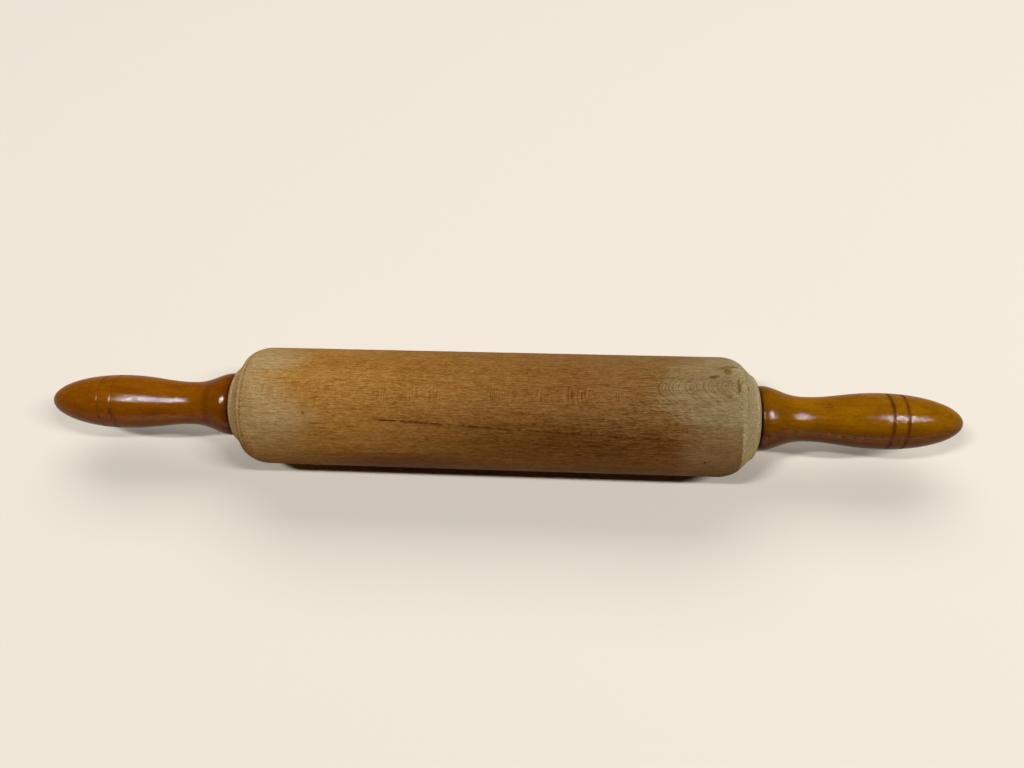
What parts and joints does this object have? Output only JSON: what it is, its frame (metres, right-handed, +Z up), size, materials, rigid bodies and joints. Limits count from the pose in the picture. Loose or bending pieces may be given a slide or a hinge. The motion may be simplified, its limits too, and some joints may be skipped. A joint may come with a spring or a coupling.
{
  "type": "rolling pin",
  "caption": "Wooden rolling pin whose roller turns on ball bearings over a steel axle, with a turned lacquered handle at each end.",
  "frame": {"origin": "bottom centre of the roller, on the line where it rests on a flat top, midway between its ends", "axes": "+X along the pin's axis towards the right handle, +Z up from the surface the roller rests on, +Y across the pin"},
  "size_m": [0.4406, 0.057, 0.057],
  "materials": {
    "roller_beech": "oiled, worn, matt",
    "handle_lacquer": "amber gloss lacquer over beech",
    "axle_steel": "drawn bar",
    "insert_brass": "turned",
    "nut_zinc": "zinc plated",
    "race_steel": "ground",
    "ball_steel": "polished",
    "shield_steel": "pressed sheet",
    "cage_polymer": "moulded"
  },
  "bodies": {
    "roller_body": {"roller": "roller_beech", "left_bearing_outer_race": "race_steel", "right_bearing_outer_race": "race_steel", "left_bearing_shields": "shield_steel", "right_bearing_shields": "shield_steel"},
    "axle_body": {"axle_rod": "axle_steel", "left_handle": "handle_lacquer", "right_handle": "handle_lacquer", "left_handle_insert": "insert_brass", "right_handle_insert": "insert_brass", "left_lock_nut": "nut_zinc", "right_lock_nut": "nut_zinc", "left_thrust_washer": "nut_zinc", "right_thrust_washer": "nut_zinc", "left_bearing_inner_race": "race_steel", "right_bearing_inner_race": "race_steel"},
    "left_cage_body": {"left_ball_cage": "cage_polymer", "left_bearing_balls": "ball_steel"},
    "right_cage_body": {"right_ball_cage": "cage_polymer", "right_bearing_balls": "ball_steel"}
  },
  "joints": [
    {"name": "handles_spin", "type": "hinge", "parent": "roller_body", "child": "axle_body", "pos_m": [0, 0, 0.0285], "axis": [1, 0, 0], "continuous": true},
    {"name": "left_cage_spin", "type": "hinge", "parent": "roller_body", "child": "left_cage_body", "pos_m": [-0.1165, 0, 0.0285], "axis": [1, 0, 0], "continuous": true},
    {"name": "right_cage_spin", "type": "hinge", "parent": "roller_body", "child": "right_cage_body", "pos_m": [0.1165, 0, 0.0285], "axis": [1, 0, 0], "continuous": true}
  ],
  "couplings": [
    {"joint": "left_cage_spin", "follows": "handles_spin", "ratio": 0.3677},
    {"joint": "right_cage_spin", "follows": "handles_spin", "ratio": 0.3677}
  ]
}
